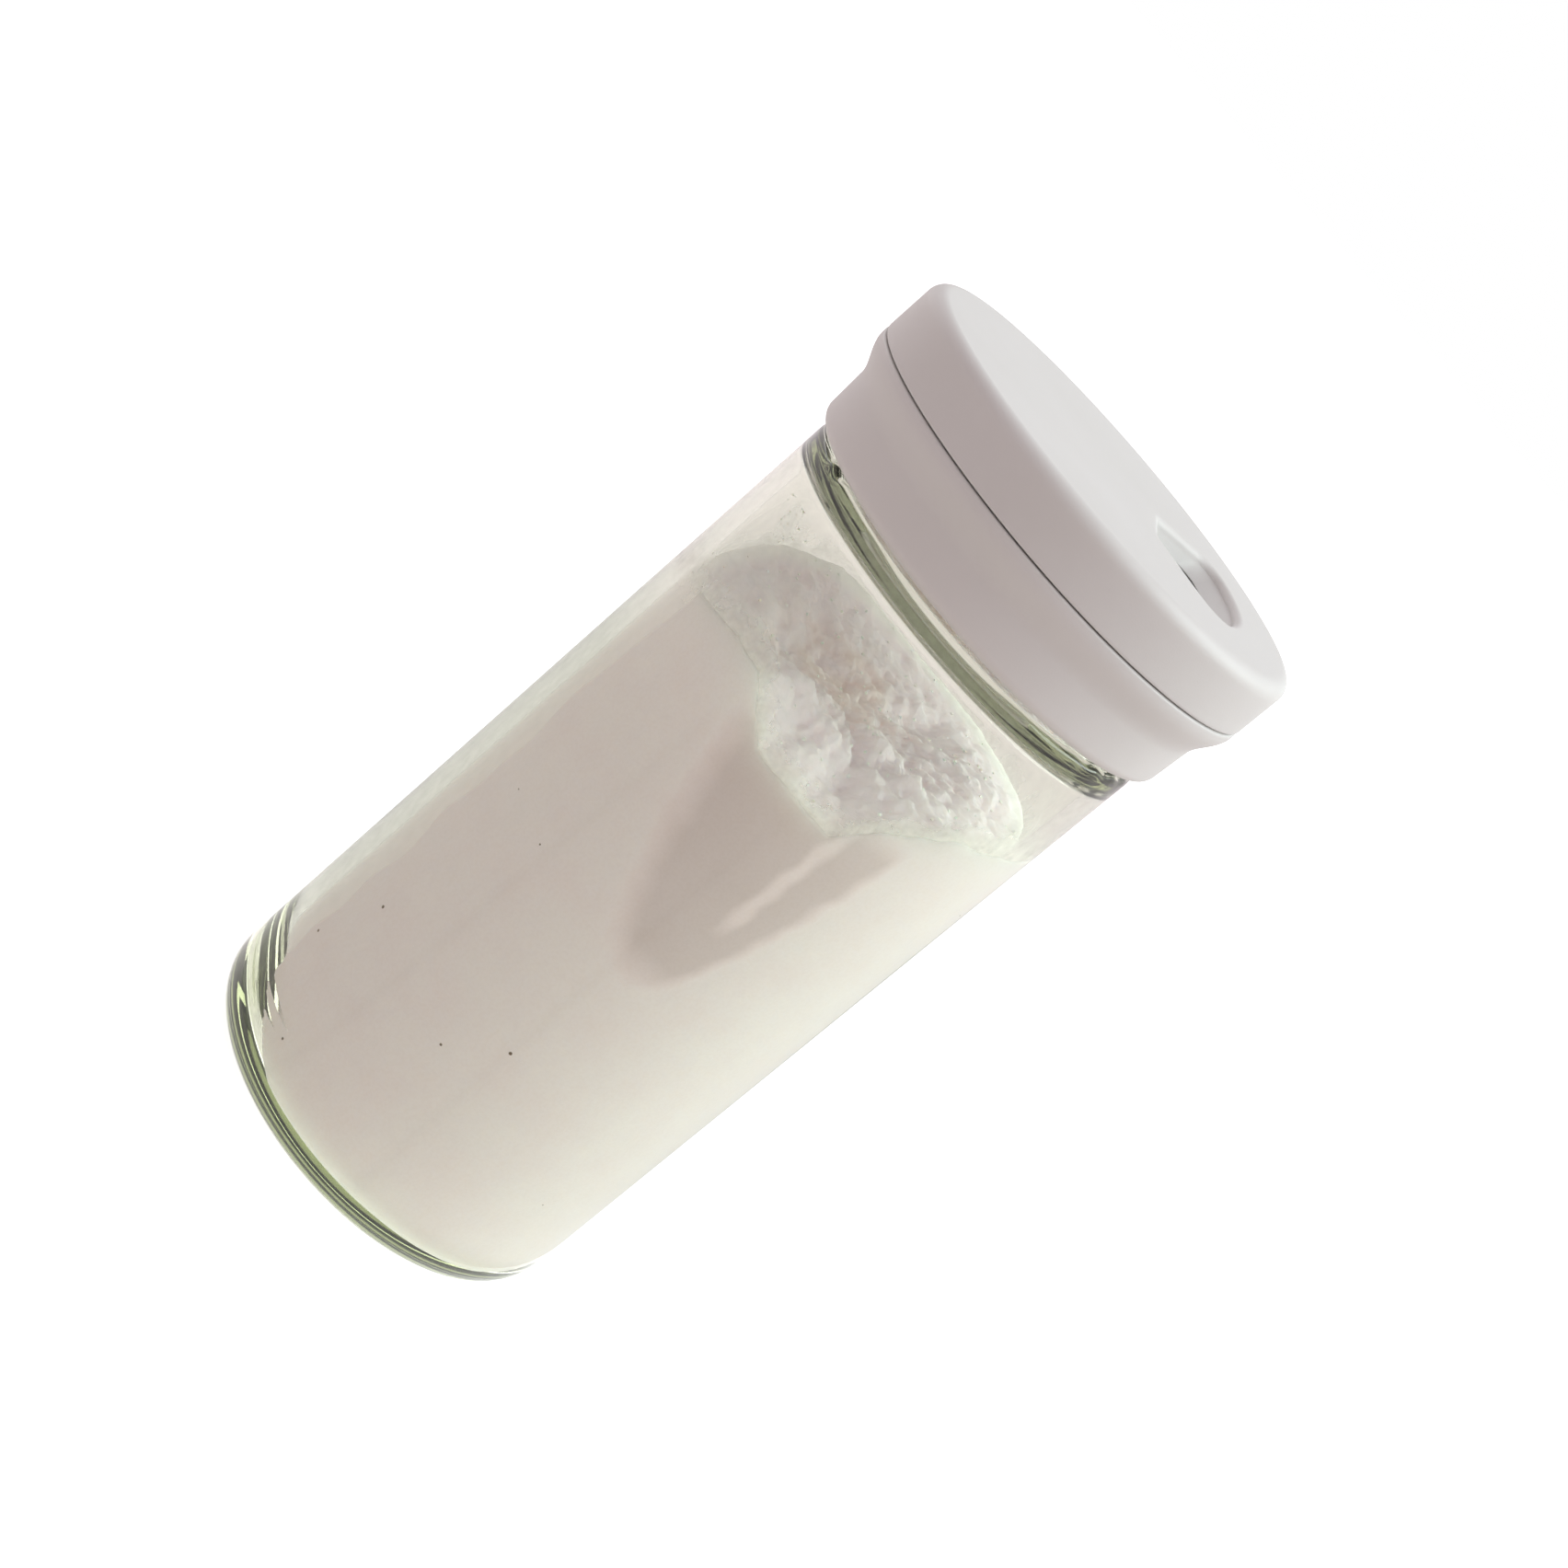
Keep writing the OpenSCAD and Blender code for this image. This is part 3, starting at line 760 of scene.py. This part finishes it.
spout_low, spout_high = fan(pour_out, -0.5), fan(pour_out + 2.1, 0)
opening = [outline(dial_mesh, fan(pour_out, -0.35), plate_z),
           outline(dial_mesh, fan(pour_out, -0.42), plate_z),
           outline(dial_mesh, fan(pour_out, -0.5), plate_z + 0.12)]
for share in (0.2, 0.4, 0.6, 0.8, 1):
    points = [(a[0] + (b[0] - a[0]) * share, a[1] + (b[1] - a[1]) * share)
              for a, b in zip(spout_low, spout_high)]
    opening.append(outline(dial_mesh, points, plate_z + 0.12 + (dial_z - soft_edge - plate_z - 0.12) * share))
for bend in (15, 30, 45, 60, 75, 90):
    grown = soft_edge * (1 - math.cos(math.radians(bend)))
    risen = soft_edge * math.sin(math.radians(bend))
    opening.append(outline(dial_mesh, fan(pour_out + 2.1, grown), dial_z - soft_edge + risen))
opening.append(outline(dial_mesh, fan(pour_out + 2.1, soft_edge + 0.08), dial_z))
for one, two in zip(opening, opening[1:]):
    joined(dial_mesh, one, two)
hub_foot = outline(dial_mesh, circle(0, 0, 3.15, 48), plate_z)
hub_root = outline(dial_mesh, circle(0, 0, 2.95, 48), plate_z - 0.1)
hub_end = outline(dial_mesh, circle(0, 0, 2.95, 48), deck_z)
joined(dial_mesh, hub_foot, hub_root)
joined(dial_mesh, hub_root, hub_end)
dial_mesh.faces.new(hub_end)
flat(dial_mesh, [dial_rings[0], opening[-1]], 1)
flat(dial_mesh, [dial_rings[-1], opening[0], hub_foot], -1)

# the hub's two springy halves, each with a barb below the deck
barb_top = deck_under - 0.3
for side in (0, 180):
    levels = []
    for r, z in ((2.45, barb_top - 1.5), (2.6, barb_top - 1.45), (3.55, barb_top - 0.1), (3.6, barb_top),
                 (2.95, barb_top), (2.95, deck_z + 0.05)):
        start, stop = math.degrees(math.asin(0.6 / r)), math.degrees(math.asin(0.6 / 1.45))
        points = arc(0, 0, r, start, 180 - start, 18) + arc(0, 0, 1.45, 180 - stop, stop, 12)
        levels.append(outline(dial_mesh, points, z, side))
    for one, two in zip(levels, levels[1:]):
        joined(dial_mesh, one, two)
    dial_mesh.faces.new(levels[0])
    dial_mesh.faces.new(levels[-1])

dial = piece("lid_dial", dial_mesh, satin_plastic)
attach(dial, "dial")
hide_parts("dial_top")

# Floor and light
# A plain pale floor that shows white to the camera and keeps the jar's soft
# shadow, one large soft lamp above and to the right, and a weak warm room.
floor_mesh = bmesh.new()
bmesh.ops.create_grid(floor_mesh, x_segments=8, y_segments=8, size=4)
pale_floor = bpy.data.materials.new("pale_floor")
pale_floor.use_nodes = True
nodes, links = pale_floor.node_tree.nodes, pale_floor.node_tree.links
surface = nodes["Principled BSDF"]
surface.inputs["Base Color"].default_value = (0.74, 0.67, 0.63, 1)
surface.inputs["Roughness"].default_value = 0.9
surface.inputs["Specular IOR Level"].default_value = 0.1
seen = nodes.new("ShaderNodeLightPath")
seen_or_mirrored = nodes.new("ShaderNodeMath")
seen_or_mirrored.operation = "MAXIMUM"
seen_at_all = nodes.new("ShaderNodeMath")
seen_at_all.operation = "MAXIMUM"
white = nodes.new("ShaderNodeEmission")
white.inputs["Strength"].default_value = 0.7
catch = nodes.new("ShaderNodeBsdfDiffuse")
catch.inputs["Color"].default_value = (0.85, 0.85, 0.85, 1)
seen_floor = nodes.new("ShaderNodeAddShader")
either = nodes.new("ShaderNodeMixShader")
links.new(seen.outputs["Is Camera Ray"], seen_or_mirrored.inputs[0])
links.new(seen.outputs["Is Glossy Ray"], seen_or_mirrored.inputs[1])
links.new(seen_or_mirrored.outputs["Value"], seen_at_all.inputs[0])
links.new(seen.outputs["Is Transmission Ray"], seen_at_all.inputs[1])
links.new(white.outputs["Emission"], seen_floor.inputs[0])
links.new(catch.outputs["BSDF"], seen_floor.inputs[1])
links.new(seen_at_all.outputs["Value"], either.inputs["Fac"])
links.new(surface.outputs["BSDF"], either.inputs[1])
links.new(seen_floor.outputs["Shader"], either.inputs[2])
links.new(either.outputs["Shader"], nodes["Material Output"].inputs["Surface"])
floor = piece("floor", floor_mesh, pale_floor)

world = bpy.data.worlds.new("room")
bpy.context.scene.world = world
world.use_nodes = True
nodes, links = world.node_tree.nodes, world.node_tree.links
room = nodes["Background"]
room.inputs["Color"].default_value = (1, 0.865, 0.89, 1)
room.inputs["Strength"].default_value = 0.57
backdrop = nodes.new("ShaderNodeBackground")
backdrop.inputs["Color"].default_value = (1, 1, 1, 1)
seen = nodes.new("ShaderNodeLightPath")
seen_or_mirrored = nodes.new("ShaderNodeMath")
seen_or_mirrored.operation = "MAXIMUM"
seen_at_all = nodes.new("ShaderNodeMath")
seen_at_all.operation = "MAXIMUM"
either = nodes.new("ShaderNodeMixShader")
links.new(seen.outputs["Is Camera Ray"], seen_or_mirrored.inputs[0])
links.new(seen.outputs["Is Glossy Ray"], seen_or_mirrored.inputs[1])
links.new(seen_or_mirrored.outputs["Value"], seen_at_all.inputs[0])
links.new(seen.outputs["Is Transmission Ray"], seen_at_all.inputs[1])
links.new(seen_at_all.outputs["Value"], either.inputs["Fac"])
links.new(room.outputs["Background"], either.inputs[1])
links.new(backdrop.outputs["Background"], either.inputs[2])
links.new(either.outputs["Shader"], nodes["World Output"].inputs["Surface"])

soft_lamp = bpy.data.lights.new("soft_lamp", "AREA")
soft_lamp.shape = "SQUARE"
soft_lamp.size = 0.9
soft_lamp.energy = 9.6
soft_lamp.color = (0.88, 1.0, 0.99)
lamp = bpy.data.objects.new("soft_lamp", soft_lamp)
bpy.context.collection.objects.link(lamp)
lamp.location = (0.72, 0.02, 0.78)
lamp.rotation_euler = (Vector((0, 0, 0.06)) - lamp.location).to_track_quat("-Z", "Y").to_euler()

# a grey card that stands round the jar like a bowl and that only the glass shows: its glow, in tones of its own,
# gives the edges of the glass their soft tones as painted reflections, as in a picture of glassware
card_mesh = bmesh.new()
card_line = [(33, 0.2), (38, 3), (44, 9), (50, 20), (56, 36), (59, 50), (60, 64), (60, 80), (60, 110)]
turned(card_mesh, card_line, 180, closed=False)
grey_card = bpy.data.materials.new("grey_card")
grey_card.use_nodes = True
nodes, links = grey_card.node_tree.nodes, grey_card.node_tree.links
toned = nodes.new("ShaderNodeAttribute")
toned.attribute_name = "tone"
evenly = nodes.new("ShaderNodeEmission")
light_path = nodes.new("ShaderNodeLightPath")
open_air = nodes.new("ShaderNodeBsdfTransparent")
for_salt = nodes.new("ShaderNodeMixShader")
links.new(toned.outputs["Color"], evenly.inputs["Color"])
links.new(light_path.outputs["Diffuse Depth"], for_salt.inputs["Fac"])
links.new(evenly.outputs["Emission"], for_salt.inputs[1])
links.new(open_air.outputs["BSDF"], for_salt.inputs[2])
links.new(for_salt.outputs["Shader"], nodes["Material Output"].inputs["Surface"])
card = piece("grey_card", card_mesh, grey_card)
card_tone = card.data.attributes.new("tone", "FLOAT_COLOR", "POINT")
for v in card.data.vertices:
    turn, high = math.degrees(math.atan2(v.co.y, v.co.x)), min(1, max(0, (v.co.z / mm - 50) / 20))
    side = math.cos(math.radians(turn - 140))
    low_tone = 0.74 + 0.02 * side + 0.2 * max(0, 1 - v.co.z / mm / 9)
    high_tone = 0.91 + 0.1 * side
    tone = low_tone + (high_tone - low_tone) * high
    # narrow dark stripes low on the card, painted reflections that show as thin dark lines in the glass
    for stripe in (114, -132, -84, 42):
        tone *= 1 - 0.55 * (1 - high) * math.exp(-((turn - stripe) / 2.2) ** 2)
    card_tone.data[v.index].color = (tone, tone * (0.98 - 0.06 * high), tone * (0.95 - 0.01 * high), 1)
card.visible_camera = card.visible_diffuse = card.visible_shadow = False

rim_lamp = bpy.data.lights.new("rim_lamp", "AREA")
rim_lamp.size = 0.6
rim_lamp.energy = 0.9
lamp = bpy.data.objects.new("rim_lamp", rim_lamp)
bpy.context.collection.objects.link(lamp)
lamp.location = (-0.58, 0.78, 0.28)
lamp.rotation_euler = (Vector((0, 0, 0.06)) - lamp.location).to_track_quat("-Z", "Y").to_euler()

bpy.context.scene.view_settings.view_transform = "Standard"
